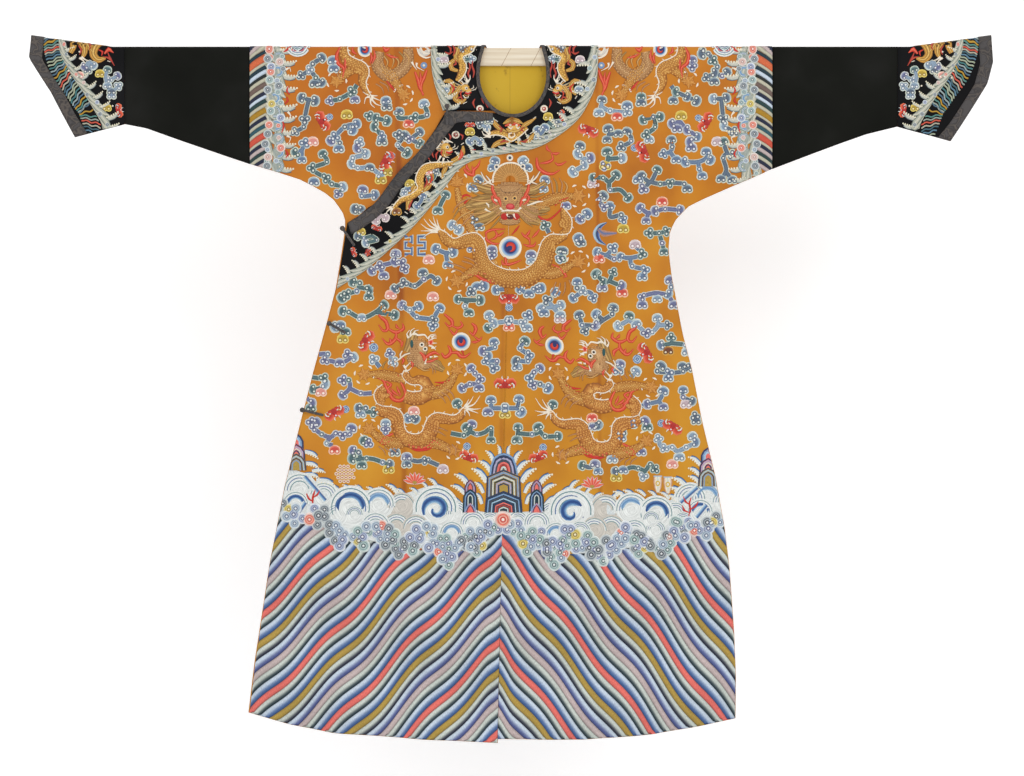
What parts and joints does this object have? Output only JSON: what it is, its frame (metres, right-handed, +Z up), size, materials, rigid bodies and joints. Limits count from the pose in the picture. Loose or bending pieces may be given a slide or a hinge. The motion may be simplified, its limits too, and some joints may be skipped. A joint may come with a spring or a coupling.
{
  "type": "Chinese dragon robe spread on a wooden hanging slat",
  "caption": "Embroidered silk court robe with crossed front, flared cuffs and padded hem stripes, spread flat on a wooden slat through its sleeves.",
  "frame": {"origin": "centre of the wooden slat that the robe hangs on", "axes": "+X to the wearer's left along the slat, +Y out of the robe's back, +Z up; the front faces -Y"},
  "size_m": [1.9234, 0.0648, 1.4144],
  "materials": {
    "yellow_silk": "satin silk with couched gold and floss embroidery",
    "black_silk": "dull black silk, embroidered on collar and cuffs",
    "brocade": "dark figured brocade edging",
    "lining": "plain gold silk lining",
    "cord": "knotted dark silk cord",
    "wood": "planed pale wood"
  },
  "bodies": {
    "root": {"front_left": "yellow_silk", "front_right_crossed": "yellow_silk", "front_right_under": "yellow_silk", "back_left": "yellow_silk", "back_right": "yellow_silk", "sleeve_right_front": "black_silk", "sleeve_right_back": "black_silk", "sleeve_left_front": "black_silk", "sleeve_left_back": "black_silk", "cuff_right_front": "black_silk", "cuff_right_back": "black_silk", "cuff_left_front": "black_silk", "cuff_left_back": "black_silk", "cuff_trim_right_front": "brocade", "cuff_trim_right_back": "brocade", "cuff_trim_left_front": "brocade", "cuff_trim_left_back": "brocade", "collar_front": "black_silk", "collar_right": "black_silk", "collar_back_left": "black_silk", "collar_back_right": "black_silk", "neck_binding": "brocade", "lapel_strip": "brocade", "back_lining": "lining", "toggle_neck": "cord", "toggle_chest": "cord", "toggle_underarm": "cord", "toggle_side_upper": "cord", "toggle_side_lower": "cord", "rod": "wood"}
  },
  "joints": []
}
